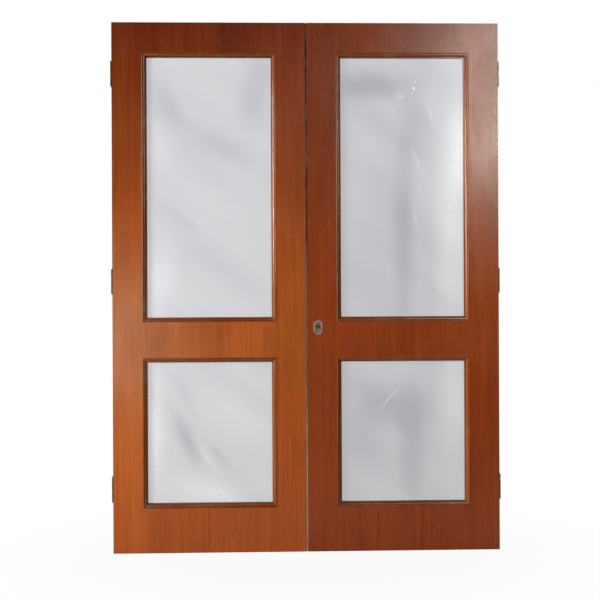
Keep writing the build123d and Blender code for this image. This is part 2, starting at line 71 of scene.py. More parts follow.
# Smears on the panes, partly dust and partly painted reflections and painted shade: middle x and z, half
# length, half width, slope in degrees, share of dust added
SMEARS_AND_REFLECTIONS = {
    "left": (
        (-0.556, 1.791, 0.19, 0.085, -55, -0.20), (-0.346, 1.613, 0.26, 0.085, -27, -0.17),
        (-0.585, 1.629, 0.17, 0.090, -62, 0.14), (-0.374, 1.407, 0.24, 0.080, -35, 0.06),
        (-0.517, 1.344, 0.16, 0.045, -40, -0.11), (-0.192, 1.850, 0.24, 0.110, 80, -0.21),
        (-0.600, 1.059, 0.28, 0.120, 80, 0.18), (-0.330, 1.130, 0.28, 0.060, -38, -0.06),
        (-0.620, 0.485, 0.36, 0.090, 88, 0.34), (-0.476, 0.441, 0.17, 0.050, -68, -0.28),
        (-0.484, 0.623, 0.13, 0.038, -60, -0.14), (-0.398, 0.375, 0.150, 0.013, -55, 0.18),
        (-0.352, 0.385, 0.10, 0.026, -53, -0.15), (-0.389, 0.240, 0.24, 0.080, -12, 0.20),
        (-0.300, 0.560, 0.25, 0.120, -30, 0.08),
    ),
    "right": (
        (0.250, 1.855, 0.29, 0.090, 0, -0.35), (0.390, 1.300, 0.62, 0.075, 90, -0.26),
        (0.440, 1.700, 0.24, 0.085, 90, -0.18),
        (0.206, 1.500, 0.42, 0.130, 90, 0.10), (0.620, 1.612, 0.30, 0.090, 88, 0.34),
        (0.585, 1.290, 0.70, 0.110, 90, 0.34), (0.498, 1.745, 0.085, 0.009, -73, 0.24),
        (0.437, 1.572, 0.090, 0.009, -64, 0.22), (0.435, 1.320, 0.075, 0.008, -80, 0.22),
        (0.379, 1.811, 0.026, 0.020, 0, 0.24), (0.370, 0.580, 0.24, 0.150, 0, -0.22),
        (0.420, 0.425, 0.34, 0.085, 90, -0.24), (0.590, 0.595, 0.42, 0.110, 90, 0.26),
        (0.215, 0.480, 0.30, 0.140, 90, -0.13), (0.325, 0.600, 0.090, 0.0032, 50, 0.60),
        (0.395, 0.685, 0.050, 0.0032, 58, 0.14), (0.602, 0.564, 0.040, 0.0032, -66, 0.18),
    ),
}

# Painted light on the veneer, ovals made paler and more orange where the lamps light the leaves most and
# their sheen shows: middle x and z, half length, half width, slope in degrees
PAINTED_LIGHT_OVALS = {
    "left": (
        (-0.77, 0.80, 0.82, 0.72, 90), (-0.75, 1.80, 0.35, 0.12, 90), (-0.05, 0.85, 0.45, 0.13, 90),
    ),
    "right": ((0.74, 1.20, 0.75, 0.30, 90),),
}
PAINTED_LIGHT_TINT = (1.11, 1.26, 1.0)

# Painted shade on the veneer from foot to top, darker and redder towards the top where less light falls:
# share of the height, and the tint there
HEIGHT_SHADE_TINTS = {
    "left": (
        (0.0, (0.92, 0.94, 1.0)), (0.10, (0.96, 0.98, 1.0)), (0.38, (0.86, 0.92, 1.0)),
        (0.52, (0.79, 0.85, 1.0)), (0.75, (0.58, 0.53, 0.7)), (1.0, (0.29, 0.21, 0.4)),
    ),
    "right": (
        (0.0, (0.97, 0.96, 1.0)), (0.25, (0.98, 0.97, 1.0)), (0.38, (0.85, 0.84, 0.9)),
        (0.55, (0.76, 0.74, 0.8)), (0.80, (0.67, 0.65, 0.7)), (1.0, (0.57, 0.55, 0.6)),
    ),
}

# The varnish: depth of its relief in metres, strength and tint of its reflection
VARNISH_RELIEF = 0.00008
VARNISH_REFLECTION = 0.48
VARNISH_TINT = (1.0, 0.93, 0.80)

# Soft lines across a glazing bead, in metres from 0 at its outer border to -0.018 at the pane
BEAD_RUBBED_AND_LIT = (-0.0022, -0.0006)
BEAD_STAFF = (-0.0058, -0.0042)
BEAD_SIGHT = (-0.0158, -0.0146)
MITRE_WIDTH = 0.0011

# How much of each pane's beads is rubbed pale, a pale outer line that is partly wear and partly a painted
# highlight
BEAD_WEAR_AND_HIGHLIGHT = {"left_upper": 0.06, "left_lower": 0.12, "right_upper": 0.15, "right_lower": 0.35}

# Colours of dirt and wear, some of them also painted shade and painted highlights
GRIME_AND_EDGE_SHADE = (0.030, 0.012, 0.006)
CHIPPED_VENEER = (0.42, 0.22, 0.10)
CHIPPED_LIPPING = (0.42, 0.24, 0.12)
SCUFFED = (0.035, 0.015, 0.008)
RUBBED_AND_LIT_BEAD = (0.50, 0.27, 0.16)
MITRE_LINE = (0.02, 0.008, 0.004)
BEAD_DUST = (0.35, 0.24, 0.17)
BRUSH_DUST_AND_LIGHT = (0.88, 0.80, 0.74)
HINGE_TARNISH = (0.120, 0.080, 0.045)
KEYHOLE_DIRT = (0.200, 0.128, 0.085)
PLUG_TARNISH = (0.020, 0.017, 0.014)
STEEL_RUST = (0.10, 0.07, 0.05)

# White specks on the right leaf's upper pane, painted glints of the lamps: name, x, z and radius
GLINT_SPECKS = (
    ("glint_high", 0.4385, 1.871, 0.0026), ("glint_middle", 0.4325, 1.842, 0.0044),
    ("glint_low", 0.4287, 1.823, 0.0023),
)

# Strength of the sky: on the doors, in their reflections and to the eye
SKY_LIGHT = 0.10
SKY_MIRRORED = 0.02
SKY_SEEN = 1.0

# Lamps: name, place, point that it faces, width, height and power
LAMPS = (
    ("softbox_left", (-1.0, -2.2, 0.79), (-0.72, 0.0, 0.87), 0.9, 1.05, 4.4),
    ("softbox_right", (1.20, -2.2, 2.14), (0.77, 0.0, 1.79), 0.9, 1.6, 26.0),
    ("key_wash", (-4.6, -2.4, 1.9), (-0.2, 0.0, 0.95), 1.8, 2.2, 275.0),
    ("right_fill", (3.2, -2.6, 1.4), (0.2, 0.0, 1.0), 1.2, 1.6, 4.0),
    ("back_wash", (1.8, 4.0, 2.6), (0.0, 0.0, 1.0), 2.0, 2.0, 110.0),
)


# Sizes and colours that a user would change


class DoorTimber(bpy.types.PropertyGroup):
    """Colours and grain of the varnished timber."""

    left_light: bpy.props.FloatVectorProperty(
        name="Left leaf, light grain", description="Palest grain of the left leaf's veneer",
        subtype="COLOR", min=0, max=1, default=(0.500, 0.104, 0.0105))
    left_dark: bpy.props.FloatVectorProperty(
        name="Left leaf, dark grain", description="Darkest grain of the left leaf's veneer",
        subtype="COLOR", min=0, max=1, default=(0.285, 0.0465, 0.0045))
    # The right leaf's grain is darker than the left's, partly as painted shade, since the lamps light the
    # left leaf more
    right_light: bpy.props.FloatVectorProperty(
        name="Right leaf, light grain", description="Palest grain of the right leaf's veneer",
        subtype="COLOR", min=0, max=1, default=(0.355, 0.0560, 0.0050))
    right_dark: bpy.props.FloatVectorProperty(
        name="Right leaf, dark grain", description="Darkest grain of the right leaf's veneer",
        subtype="COLOR", min=0, max=1, default=(0.195, 0.0285, 0.0030))
    bead_light: bpy.props.FloatVectorProperty(
        name="Beads, light grain", description="Palest grain of the glazing beads",
        subtype="COLOR", min=0, max=1, default=(0.380, 0.084, 0.011))
    bead_dark: bpy.props.FloatVectorProperty(
        name="Beads, dark grain", description="Darkest grain of the glazing beads",
        subtype="COLOR", min=0, max=1, default=(0.170, 0.031, 0.004))
    edge_light: bpy.props.FloatVectorProperty(
        name="Edges, light grain", description="Palest grain of the lippings on the leaves' edges",
        subtype="COLOR", min=0, max=1, default=(0.260, 0.085, 0.028))
    edge_dark: bpy.props.FloatVectorProperty(
        name="Edges, dark grain", description="Darkest grain of the lippings on the leaves' edges",
        subtype="COLOR", min=0, max=1, default=(0.090, 0.026, 0.009))
    raw_light: bpy.props.FloatVectorProperty(
        name="Frame, light grain", description="Palest grain of the unvarnished inner frame",
        subtype="COLOR", min=0, max=1, default=(0.520, 0.330, 0.170))
    raw_dark: bpy.props.FloatVectorProperty(
        name="Frame, dark grain", description="Darkest grain of the unvarnished inner frame",
        subtype="COLOR", min=0, max=1, default=(0.270, 0.140, 0.060))
    streak_width: bpy.props.FloatProperty(
        name="Streak width", description="Usual width of a streak in the grain",
        unit="LENGTH", min=0.001, max=0.05, default=0.009)
    varnish_roughness: bpy.props.FloatProperty(
        name="Varnish roughness", description="How far the varnish spreads a reflection",
        min=0, max=1, subtype="FACTOR", default=0.25)
    # The dark line along the leaves' edges is grime and chips, and also painted shade at the edges
    arris_grime_shade_and_wear: bpy.props.FloatProperty(
        name="Arris wear", description="Width of the rubbed line along the leaves' edges",
        unit="LENGTH", min=0, max=0.02, default=0.0035)


class DoorGlass(bpy.types.PropertyGroup):
    """Tint and dust of the panes."""

    film: bpy.props.FloatProperty(
        name="Film", description="Share of the light that one face of a pane holds back",
        min=0, max=1, subtype="FACTOR", default=0.36)
    clean: bpy.props.FloatVectorProperty(
        name="Clean glass", description="Colour of the film where the glass is clean",
        subtype="COLOR", min=0, max=1, default=(0.020, 0.016, 0.070))
    # The dust colour also paints the reflections that the smears lay on the panes
    dust: bpy.props.FloatVectorProperty(
        name="Dust", description="Colour of the film where dust is thickest",
        subtype="COLOR", min=0, max=1, default=(0.97, 0.97, 1.0))
    gloss: bpy.props.FloatProperty(
        name="Roughness", description="How far the panes spread a reflection",
        min=0, max=1, subtype="FACTOR", default=0.28)
    left_dust: bpy.props.FloatProperty(
        name="Dust, left leaf", description="How dusty the left leaf's panes are between their smears",
        min=0, max=1, subtype="FACTOR", default=0.50)
    right_dust: bpy.props.FloatProperty(
        name="Dust, right leaf", description="How dusty the right leaf's panes are between their smears",
        min=0, max=1, subtype="FACTOR", default=0.30)


class DoorMetal(bpy.types.PropertyGroup):
    """Colours of the metal fittings."""

    hinge_brass: bpy.props.FloatVectorProperty(
        name="Hinge brass", description="Clean brass of the hinges",
        subtype="COLOR", min=0, max=1, default=(0.32, 0.22, 0.10))
    edge_brass: bpy.props.FloatVectorProperty(
        name="Edge brass", description="Clean brass of the plates let into the edges",
        subtype="COLOR", min=0, max=1, default=(0.55, 0.40, 0.18))
    keyhole_brass: bpy.props.FloatVectorProperty(
        name="Keyhole brass", description="Rubbed brass of the keyhole plates' rims",
        subtype="COLOR", min=0, max=1, default=(0.50, 0.32, 0.23))
    tarnish: bpy.props.FloatVectorProperty(
        name="Tarnish", description="Brown film on old brass",
        subtype="COLOR", min=0, max=1, default=(0.120, 0.074, 0.044))
    bronze: bpy.props.FloatVectorProperty(
        name="Bronze", description="Nearly black bronze of the key plug",
        subtype="COLOR", min=0, max=1, default=(0.105, 0.085, 0.065))
    steel: bpy.props.FloatVectorProperty(
        name="Steel", description="Sheet steel of the lock case and bolts",
        subtype="COLOR", min=0, max=1, default=(0.42, 0.41, 0.40))
    slot_width: bpy.props.FloatProperty(
        name="Slot width", description="Width of the screws' slots",
        unit="LENGTH", min=0.0003, max=0.003, default=0.0011)
    slot_depth: bpy.props.FloatProperty(
        name="Slot depth", description="Depth of the screws' slots",
        unit="LENGTH", min=0.0003, max=0.003, default=0.0013)


class DoorSeal(bpy.types.PropertyGroup):
    """The brush strip between the two leaves."""

    pile: bpy.props.FloatVectorProperty(
        name="Pile", description="Colour of the brush",
        subtype="COLOR", min=0, max=1, default=(0.012, 0.006, 0.004))
    reach: bpy.props.FloatProperty(
        name="Reach", description="How far the brush stands out from the left leaf's edge",
        unit="LENGTH", min=0.001, max=0.0039, default=0.0038)
    tuft_step: bpy.props.FloatProperty(
        name="Tuft spacing", description="Distance from one tuft of the brush to the next",
        unit="LENGTH", min=0.001, max=0.004, default=0.002)


class DoorStudio(bpy.types.PropertyGroup):
    """The camera, floor and lights."""

    camera_place: bpy.props.FloatVectorProperty(
        name="Camera place", description="Where the camera stands",
        subtype="TRANSLATION", unit="LENGTH", default=(-0.208, -5.0, 1.0))
    camera_target: bpy.props.FloatVectorProperty(
        name="Camera target", description="The point on the doors that the camera looks at",
        subtype="TRANSLATION", unit="LENGTH", default=(-0.0265, -0.02, 0.9992))
    camera_roll: bpy.props.FloatProperty(
        name="Camera roll", description="Turn of the camera about its own line of sight",
        subtype="ANGLE", default=math.radians(-0.26))
    lens: bpy.props.FloatProperty(
        name="Lens", description="Focal length for a sensor 36 mm wide",
        unit="CAMERA", default=75.3)
    floor_colour: bpy.props.FloatVectorProperty(
        name="Floor colour", description="Colour of the floor",
        subtype="COLOR", min=0, max=1, default=(0.50, 0.50, 0.50))
    floor_radius: bpy.props.FloatProperty(
        name="Floor radius", description="How far the floor reaches",
        unit="LENGTH", default=16.0)


# Shared node calls


class Nodes:
    """A node tree whose nodes are added by short calls."""

    def __init__(self, tree):
        self.tree = tree

    def add(self, kind, **settings):
        """A new node with the given settings."""
        node = self.tree.nodes.new(kind)
        for name, value in settings.items():
            setattr(node, name, value)
        return node

    def join(self, value, socket):
        """Links another node's output to a socket, or sets the socket to a plain value."""
        if isinstance(value, bpy.types.NodeSocket):
            self.tree.links.new(value, socket)
        elif socket.type == "RGBA" and len(value) == 3:
            socket.default_value = (*value, 1.0)
        else:
            socket.default_value = value

    def math(self, operation, *values):
        """One arithmetic step on one to three values."""
        node = self.add("ShaderNodeMath", operation=operation)
        for value, socket in zip(values, node.inputs):
            self.join(value, socket)
        return node.outputs[0]

    def parts(self, vector):
        """The three values of a vector."""
        node = self.add("ShaderNodeSeparateXYZ")
        self.join(vector, node.inputs[0])
        return node.outputs

    def fade(self, value, low, high, start=0.0, end=1.0):
        """A smooth step from start to end as the value goes from low to high."""
        node = self.add("ShaderNodeMapRange", interpolation_type="SMOOTHSTEP")
        for item, socket in zip((value, low, high, start, end), node.inputs):
            self.join(item, socket)
        return node.outputs[0]

    def mix_shaders(self, share, first, second):
        """Two shaders mixed by a share."""
        node = self.add("ShaderNodeMixShader")
        for item, socket in zip((share, first, second), node.inputs):
            self.join(item, socket)
        return node.outputs[0]

    def glow(self, kind, strength):
        """White light of the given strength from an emission or background shader."""
        node = self.add(kind)
        self.join((1.0, 1.0, 1.0), node.inputs["Color"])
        self.join(strength, node.inputs["Strength"])
        return node.outputs[0]


class Finish(Nodes):
    """A procedural material on Object coordinates."""

    def __init__(self, name, roughness=0.5, metallic=0.0):
        self.material = bpy.data.materials.new(name)
        self.material.use_nodes = True
        super().__init__(self.material.node_tree)
        self.shader = self.tree.nodes["Principled BSDF"]
        self.output = self.tree.nodes["Material Output"]
        self.set("Roughness", roughness)
        self.set("Metallic", metallic)
        self.place = self.add("ShaderNodeTexCoord").outputs["Object"]
        self.x, self.y, self.z = self.parts(self.place)

    def set(self, socket, value):
        """Sets or feeds a socket of the material's main shader."""
        self.join(value, self.shader.inputs[socket])

    def point(self, x, y, z):
        """A vector made of three values."""
        node = self.add("ShaderNodeCombineXYZ")
        for value, socket in zip((x, y, z), node.inputs):
            self.join(value, socket)
        return node.outputs[0]

    def noise(self, vector, sizes, detail=2.0, roughness=0.5, shift=0.0):
        """Noise from 0 to 1 whose patches have the given sizes along x, y and z, in metres."""
        mapping = self.add("ShaderNodeMapping")
        mapping.inputs["Scale"].default_value = [1 / size for size in sizes]
        mapping.inputs["Location"].default_value = (shift, shift, shift)
        self.join(vector, mapping.inputs["Vector"])
        node = self.add("ShaderNodeTexNoise")
        node.inputs["Scale"].default_value = 1.0
        node.inputs["Detail"].default_value = detail
        node.inputs["Roughness"].default_value = roughness
        self.join(mapping.outputs[0], node.inputs["Vector"])
        return node.outputs["Fac"]

    def ramp(self, value, *stops):
        """A colour for the value, from stops of a position and a colour each."""
        node = self.add("ShaderNodeValToRGB")
        elements = node.color_ramp.elements
        while len(elements) < len(stops):
            elements.new(1.0)
        for element, (position, colour) in zip(elements, stops):
            element.position = position
            element.color = (*colour, 1.0)
        self.join(value, node.inputs[0])
        return node.outputs["Color"]

    def blend(self, share, first, second, mode="MIX"):
        """Two colours blended by a share."""
        node = self.add("ShaderNodeMix", data_type="RGBA", blend_type=mode)
        for value, number in ((share, 0), (first, 6), (second, 7)):
            self.join(value, node.inputs[number])
        return node.outputs[2]

    def tint(self, colour, by, share=1.0):
        """A colour multiplied by another one, wholly or by a share."""
        return self.blend(share, colour, by, "MULTIPLY")

    def shaded(self, colour, value):
        """A colour made lighter or darker by one value."""
        return self.tint(colour, self.point(value, value, value))

    def part_of(self, value, share):
        """A value times a share."""
        return self.math("MULTIPLY", value, share)

    def rest_of(self, value):
        """What a share leaves over."""
        return self.math("SUBTRACT", 1.0, value)

    def apart(self, first, second):
        """The distance between two values."""
        return self.math("ABSOLUTE", self.math("SUBTRACT", first, second))

    def bump(self, height, depth, before=None):
        """A relief of the given depth in metres, on top of another one."""
        node = self.add("ShaderNodeBump")
        node.inputs["Strength"].default_value = 1.0
        node.inputs["Distance"].default_value = depth
        self.join(height, node.inputs["Height"])
        if before is not None:
            self.join(before, node.inputs["Normal"])
        return node.outputs[0]

    def wear_and_shade_line(self, edges, width):
        """1 on the given edge planes, fading to 0 at the width. An edge is an axis value and its place."""
        nearest = None
        for value, place in edges:
            distance = self.apart(value, place)
            nearest = distance if nearest is None else self.math("MINIMUM", nearest, distance)
        return self.fade(nearest, 0.0, width, 1.0, 0.0)

    def soft_oval(self, x, z, length, width, slope):
        """A soft oval on the doors' face: 1 in its middle and 0 at its rim."""
        mapping = self.add("ShaderNodeMapping", vector_type="TEXTURE")
        mapping.inputs["Location"].default_value = (x, 0.0, z)
        mapping.inputs["Rotation"].default_value = (0.0, -math.radians(slope), 0.0)
        mapping.inputs["Scale"].default_value = (length, 1.0, width)
        self.join(self.place, mapping.inputs["Vector"])
        distance = self.add("ShaderNodeVectorMath", operation="LENGTH")
        self.join(mapping.outputs[0], distance.inputs[0])
        return self.fade(distance.outputs["Value"], 0.0, 1.0, 1.0, 0.0)

    def give(self, *names):
        """Puts the finish on CAD nodes."""
        for name in names:
            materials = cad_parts[name].data.materials
            materials.clear()
            materials.append(self.material)


def lay_grain(finish, along, light, dark, streak, shift=0.0):
    """Colour and relief of straight-grained timber whose fibres run along the vector's third axis."""
    sway = finish.noise(along, (0.35, 0.35, 1.1), detail=1.0, shift=shift)
    offset = finish.part_of(finish.math("SUBTRACT", sway, 0.5), 0.06)
    moved = finish.add("ShaderNodeVectorMath", operation="ADD")
    finish.join(along, moved.inputs[0])
    finish.join(finish.point(offset, offset, 0.0), moved.inputs[1])
    grain = moved.outputs[0]
    bands = finish.noise(grain, (streak * 8, streak * 8, 2.2), detail=2.0, shift=shift)
    streaks = finish.noise(grain, (streak, streak, 0.55), detail=3.0, roughness=0.6, shift=shift)
    fibres = finish.noise(grain, (streak / 8, streak / 8, 0.09), detail=2.0, shift=shift)
    tone = finish.part_of(bands, 0.26)
    tone = finish.math("MULTIPLY_ADD", streaks, 0.42, tone)
    tone = finish.math("MULTIPLY_ADD", fibres, 0.32, tone)
    middle = [(a + b) / 2 for a, b in zip(light, dark)]
    colour = finish.ramp(tone, (0.34, dark), (0.5, middle), (0.66, light))
    pores = finish.noise(grain, (0.0007, 0.0007, 0.012), detail=1.0, shift=shift)
    pore_mask = finish.fade(pores, 0.62, 0.72)
    colour = finish.blend(finish.part_of(pore_mask, 0.45), colour, [c * 0.35 for c in dark])
    relief = finish.math("SUBTRACT", finish.part_of(streaks, 0.6), pore_mask)
    relief = finish.math("MULTIPLY_ADD", fibres, 0.5, relief)
    return colour, tone, relief


def varnish(finish, colour, tone, relief, roughness, dulled=0.0):
    """A satin varnish over stained timber: an uneven gloss, and a relief that follows the grain."""
    smears = finish.noise(finish.place, (0.13, 0.13, 0.22), detail=3.0)
    gloss = finish.fade(smears, 0.3, 0.7, roughness - 0.03, roughness + 0.05)
    gloss = finish.math("MULTIPLY_ADD", finish.math("SUBTRACT", tone, 0.5), 0.12, gloss)
    gloss = finish.math("ADD", gloss, dulled)
    ripples = finish.noise(finish.place, (0.02, 0.02, 0.09), detail=1.0)
    finish.set("Base Color", colour)
    finish.set("Roughness", gloss)
    finish.set("Specular IOR Level", VARNISH_REFLECTION)
    finish.set("Specular Tint", VARNISH_TINT)
    finish.set("Normal", finish.bump(relief, VARNISH_RELIEF, finish.bump(ripples, VARNISH_RELIEF * 2)))


def veneer_finish(name, light, dark, timber, shift):
    """Varnished veneer on one leaf, with one vertical grain over stiles and rails alike."""
    finish = Finish(f"{name}_veneer")
    colour, tone, relief = lay_grain(finish, finish.place, light, dark, timber.streak_width, shift)
    height = finish.math("DIVIDE", finish.z, LEAF_HEIGHT)
    # Painted shade: the veneer darkens and reddens towards the top
    colour = finish.tint(colour, finish.ramp(height, *HEIGHT_SHADE_TINTS[name]))
    # Painted light: paler, more orange ovals where the lamps fall on the veneer
    for oval in PAINTED_LIGHT_OVALS[name]:
        colour = finish.tint(colour, PAINTED_LIGHT_TINT, finish.soft_oval(*oval))
    clouds = finish.noise(finish.place, (0.30, 0.30, 0.55), detail=2.0, shift=shift)
    colour = finish.shaded(colour, finish.fade(clouds, 0.32, 0.68, 0.87, 1.10))
    sign = 1 if name == "right" else -1
    edges = (
        (finish.x, sign * LEAF_OUTER), (finish.x, sign * LEAF_INNER),
        (finish.z, LEAF_HEIGHT), (finish.z, 0.0),
    )
    arris = finish.wear_and_shade_line(edges, timber.arris_grime_shade_and_wear)
    broken = finish.fade(finish.noise(finish.place, (0.012, 0.012, 0.03), detail=3.0), 0.42, 0.6)
    # Grime on the arrises, and painted shade that darkens the leaves' edges
    colour = finish.blend(finish.part_of(arris, 0.75), colour, GRIME_AND_EDGE_SHADE)
    chips = finish.part_of(finish.fade(arris, 0.62, 0.9), finish.rest_of(broken))
    colour = finish.blend(finish.part_of(chips, 0.35), colour, CHIPPED_VENEER)
    scuffs = finish.noise(finish.place, (0.006, 0.006, 0.004), detail=3.0)
    near_floor = finish.fade(finish.z, 0.05, 0.32, 1.0, 0.0)
    marks = finish.part_of(finish.fade(scuffs, 0.69, 0.73), near_floor)
    colour = finish.blend(finish.part_of(marks, 0.7), colour, SCUFFED)
    varnish(finish, colour, tone, relief, timber.varnish_roughness)
    return finish


def bead_finish(name, node, timber, wear, shift):
    """Varnished moulding whose grain runs along each strip and turns at the mitres."""
    low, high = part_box(node)
    middle, half = (low + high) / 2, (high - low) / 2
    finish = Finish(f"{name}_moulding")
    past_side = finish.math("SUBTRACT", finish.apart(finish.x, middle.x), half.x)
    past_end = finish.math("SUBTRACT", finish.apart(finish.z, middle.z), half.z)
    is_rail = finish.math("GREATER_THAN", past_end, past_side)
    turned = finish.point(finish.z, finish.y, finish.x)
    along = finish.add("ShaderNodeMix", data_type="VECTOR")
    finish.join(is_rail, along.inputs[0])
    finish.join(finish.place, along.inputs[4])
    finish.join(turned, along.inputs[5])
    light, dark = timber.bead_light[:], timber.bead_dark[:]
    colour, tone, relief = lay_grain(finish, along.outputs[1], light, dark, timber.streak_width / 2, shift)
    edge = finish.math("MAXIMUM", past_side, past_end)
    on_right = finish.math("GREATER_THAN", finish.x, middle.x)
    right_strip = finish.part_of(on_right, finish.rest_of(is_rail))
    # Painted light and shade: paler on the right strip, which faces the lamps, and darker on the rails and
    # left strips, on the staff, on the step at the pane and towards the top, where shade falls
    painted_light_and_shade = finish.math("MULTIPLY_ADD", right_strip, 0.45, 0.70)
    painted_light_and_shade = finish.part_of(painted_light_and_shade, finish.fade(edge, *BEAD_STAFF, 1.0, 0.85))
    painted_light_and_shade = finish.part_of(painted_light_and_shade, finish.fade(edge, *BEAD_SIGHT, 0.65, 1.0))
    painted_light_and_shade = finish.part_of(painted_light_and_shade, finish.fade(finish.z, 1.2, LEAF_HEIGHT, 1.0, 0.8))
    colour = finish.shaded(colour, painted_light_and_shade)
    # The pale outer line is partly wear and partly a painted highlight where the bead's edge catches the
    # light
    rubbed = finish.fade(edge, *BEAD_RUBBED_AND_LIT)
    worn = finish.fade(finish.noise(along.outputs[1], (0.004, 0.004, 0.05), detail=3.0), 0.40, 0.60)
    pale = finish.part_of(finish.part_of(rubbed, worn), wear)
    colour = finish.blend(pale, colour, RUBBED_AND_LIT_BEAD)
    mitre = finish.fade(finish.apart(past_side, past_end), 0.0, MITRE_WIDTH, 1.0, 0.0)
    colour = finish.blend(finish.part_of(mitre, 0.8), colour, MITRE_LINE)
    dust = finish.fade(finish.noise(finish.place, (0.05, 0.05, 0.05), detail=3.0), 0.45, 0.75)
    colour = finish.blend(finish.part_of(dust, 0.12), colour, BEAD_DUST)
    # Duller on the left half's staff and glossier on the right strip
    dull_staff = finish.part_of(finish.fade(edge, *BEAD_STAFF), 0.15)
    dull = finish.part_of(dull_staff, finish.rest_of(on_right))
    dull = finish.math("MULTIPLY_ADD", right_strip, -0.06, dull)
    varnish(finish, colour, tone, relief, timber.varnish_roughness - 0.09, dull)
    return finish


def brass_finish(name, clean, tarnish, cover, roughness, metallic=0.8):
    """Old brass: a brown film in patches, rubbed brighter, with fine scratches."""
    finish = Finish(name, metallic=metallic)
    film = finish.noise(finish.place, (0.018, 0.018, 0.018), detail=4.0, roughness=0.65)
    spots = finish.noise(finish.place, (0.0022, 0.0022, 0.0022), detail=2.0)
    scratches = finish.noise(finish.place, (0.0006, 0.0006, 0.02), detail=2.0)
    bare = 0.62 - cover * 0.4
    colour = finish.blend(finish.fade(film, bare, bare + 0.20), clean, tarnish)
    colour = finish.blend(finish.fade(spots, 0.66, 0.74, 0.0, 0.6), colour, [c * 0.4 for c in tarnish])
    rough = finish.fade(film, 0.3, 0.75, roughness - 0.06, roughness + 0.16)
    finish.set("Base Color", colour)
    finish.set("Roughness", finish.math("MULTIPLY_ADD", scratches, 0.12, rough))
    finish.set("Normal", finish.bump(scratches, 0.00003, finish.bump(spots, 0.00006)))
    return finish


# Modelling helpers


def select_only(thing):
    """Makes one object the only selected and the active one."""
    bpy.ops.object.select_all(action="DESELECT")
    thing.select_set(True)
    bpy.context.view_layer.objects.active = thing


def settle(thing):
    """Puts an object's place, turn and size into its mesh."""
    select_only(thing)
    bpy.ops.object.transform_apply(location=True, rotation=True, scale=True)


def finish_piece(thing, name, body, finish):
    """Names a piece, paints it and lets it ride on its body."""
    thing.name = name
    thing.data.name = name
    thing.data.materials.clear()
    thing.data.materials.append(finish.material)
    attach(thing, body)


def copy_of_node(name):
    """A merged copy of a CAD node's mesh as an object of its own."""
    thing = bpy.data.objects.new(f"{name}_copy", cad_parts[name].data.copy())
    bpy.context.scene.collection.objects.link(thing)
    select_only(thing)
    bpy.ops.object.mode_set(mode="EDIT")
    bpy.ops.mesh.select_all(action="SELECT")
    bpy.ops.mesh.remove_doubles(threshold=0.000001)
    bpy.ops.object.mode_set(mode="OBJECT")
    return thing


def loose_parts(thing):
    """Splits a mesh into its separate solids and gives them as a list, in the order of their places."""
    select_only(thing)
    bpy.ops.object.mode_set(mode="EDIT")
    bpy.ops.mesh.select_all(action="SELECT")
    bpy.ops.mesh.separate(type="LOOSE")
    bpy.ops.object.mode_set(mode="OBJECT")
    parts = list(bpy.context.selected_objects)
    return sorted(parts, key=lambda part: tuple(round(c, 4) for c in mesh_middle(part)))


def mesh_box(thing):
    """Lowest and highest corner of an object's mesh."""
    corners = [Vector(vertex.co) for vertex in thing.data.vertices]
    low = Vector([min(c[i] for c in corners) for i in range(3)])
    high = Vector([max(c[i] for c in corners) for i in range(3)])
    return low, high


def mesh_middle(thing):
    """Middle of an object's mesh."""
    low, high = mesh_box(thing)
    return (low + high) / 2


def cut_slot(screw, turn, width, depth):
    """Cuts a driver's slot across a screw's head, which is the wider end of its longest side."""
    low, high = mesh_box(screw)
    size = high - low
    axis = max(range(3), key=lambda i: size[i])
    head_width = min(size[i] for i in range(3) if i != axis)
    middle = (low + high) / 2
    end_depth = size[axis] * 0.02
    reach = {-1: 0.0, 1: 0.0}
    for vertex in screw.data.vertices:
        for end, place in ((-1, low[axis]), (1, high[axis])):
            if abs(vertex.co[axis] - place) < end_depth:
                away = Vector(vertex.co) - middle
                away[axis] = 0.0
                reach[end] = max(reach[end], away.length)
    end = max(reach, key=reach.get)
    place = middle.copy()
    place[axis] = high[axis] if end > 0 else low[axis]
    bpy.ops.object.select_all(action="DESELECT")
    bpy.ops.mesh.primitive_cube_add(size=1.0, location=place)
    cutter = bpy.context.object
    cutter.scale = (width, head_width * 1.2, depth * 2)
    facing = Vector([float(i == axis) for i in range(3)])
    cutter.rotation_mode = "QUATERNION"
    cutter.rotation_quaternion = facing.to_track_quat("Z", "Y") @ Quaternion((0, 0, 1), turn)
    settle(cutter)
    select_only(screw)
    cut = screw.modifiers.new("slot", "BOOLEAN")
    cut.operation = "DIFFERENCE"
    cut.solver = "EXACT"
    cut.object = cutter
    bpy.ops.object.modifier_apply(modifier=cut.name)
    bpy.data.objects.remove(cutter)


# Operators, one for each group of pieces


class DOORS_OT_veneer(bpy.types.Operator):
    """Varnish the veneered faces of both leaves"""

    bl_idname = "doors.veneer"
    bl_label = "Veneered faces"

    def execute(self, context):
        timber = context.scene.door_timber
        grains = {
            "left": (timber.left_light[:], timber.left_dark[:]),
            "right": (timber.right_light[:], timber.right_dark[:]),
        }
        for number, leaf in enumerate(LEAVES):
            finish = veneer_finish(leaf, *grains[leaf], timber, number * 3.7)
            finish.give(f"{leaf}_front_panel", f"{leaf}_back_panel")
        return {"FINISHED"}


class DOORS_OT_beads(bpy.types.Operator):
    """Varnish the mitred glazing beads"""

    bl_idname = "doors.beads"
    bl_label = "Glazing beads"

    def execute(self, context):
        timber = context.scene.door_timber
        for number, leaf in enumerate(LEAVES):
            for pane in PANES:
                name = f"{leaf}_{pane}"
                finish = bead_finish(name, f"{name}_front_beads", timber, BEAD_WEAR_AND_HIGHLIGHT[name], number * 2.3)
                finish.give(*(f"{name}_{face}_beads" for face in FACES))
        return {"FINISHED"}


